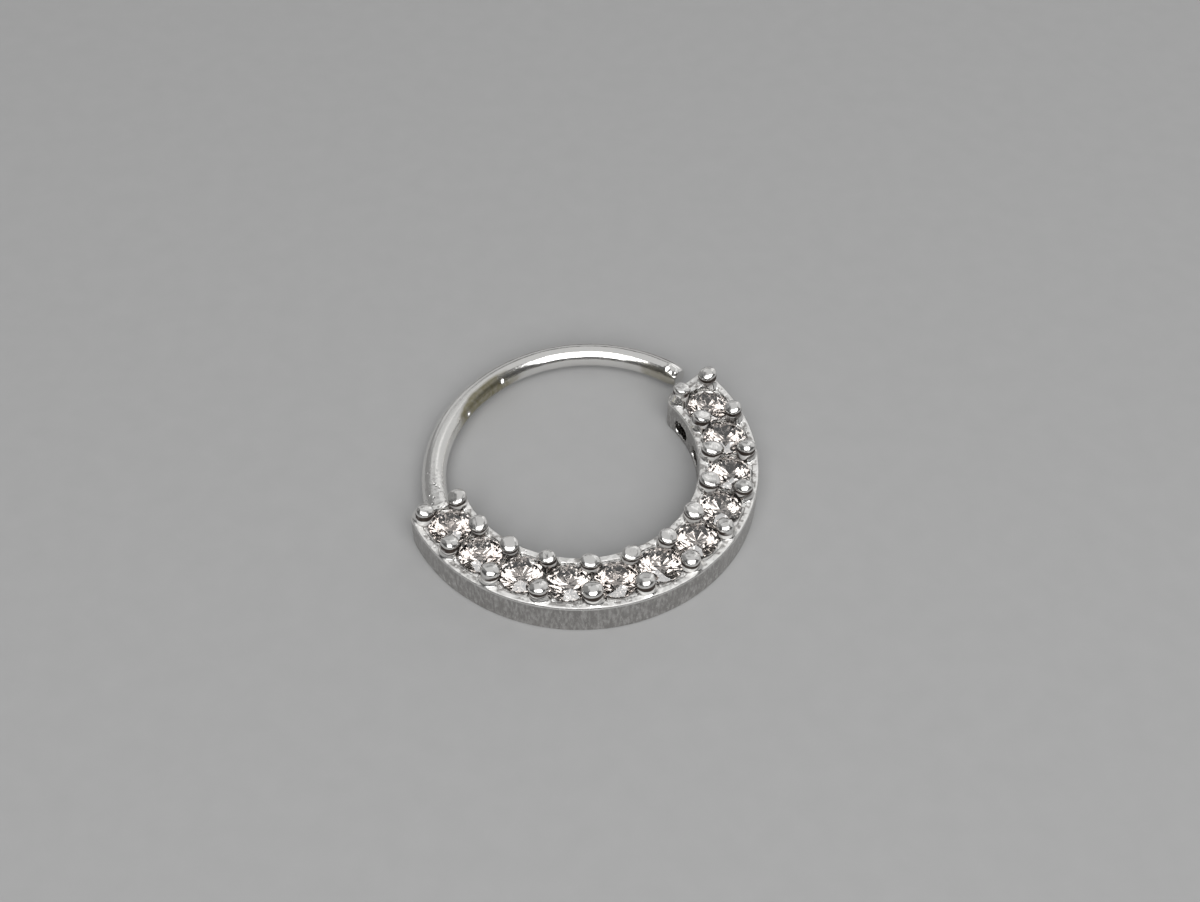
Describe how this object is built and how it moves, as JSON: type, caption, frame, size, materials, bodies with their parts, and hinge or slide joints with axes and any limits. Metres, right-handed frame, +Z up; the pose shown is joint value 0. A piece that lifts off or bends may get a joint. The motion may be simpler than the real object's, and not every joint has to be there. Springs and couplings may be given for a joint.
{
  "type": "daith ring",
  "caption": "Open daith ring for an ear piercing: a flat half band set with a row of round clear stones, closed by a plain round wire with a free tip.",
  "frame": {"origin": "under the middle of the ring's box, on the flat underside that the ring lies on", "axes": "+Z up out of the side that carries the stones, +X to the right and +Y away from the viewer as the ring lies in the picture"},
  "size_m": [0.0144, 0.0148, 0.0023],
  "materials": {
    "silver": "polished cast silver, slightly pitted, with light tarnish",
    "stone": "clear round brilliant cut, polished facets"
  },
  "bodies": {
    "root": {"ring_frame": "silver", "stone_01": "stone", "stone_02": "stone", "stone_03": "stone", "stone_04": "stone", "stone_05": "stone", "stone_06": "stone", "stone_07": "stone", "stone_08": "stone", "stone_09": "stone", "stone_10": "stone", "stone_11": "stone"}
  },
  "joints": []
}
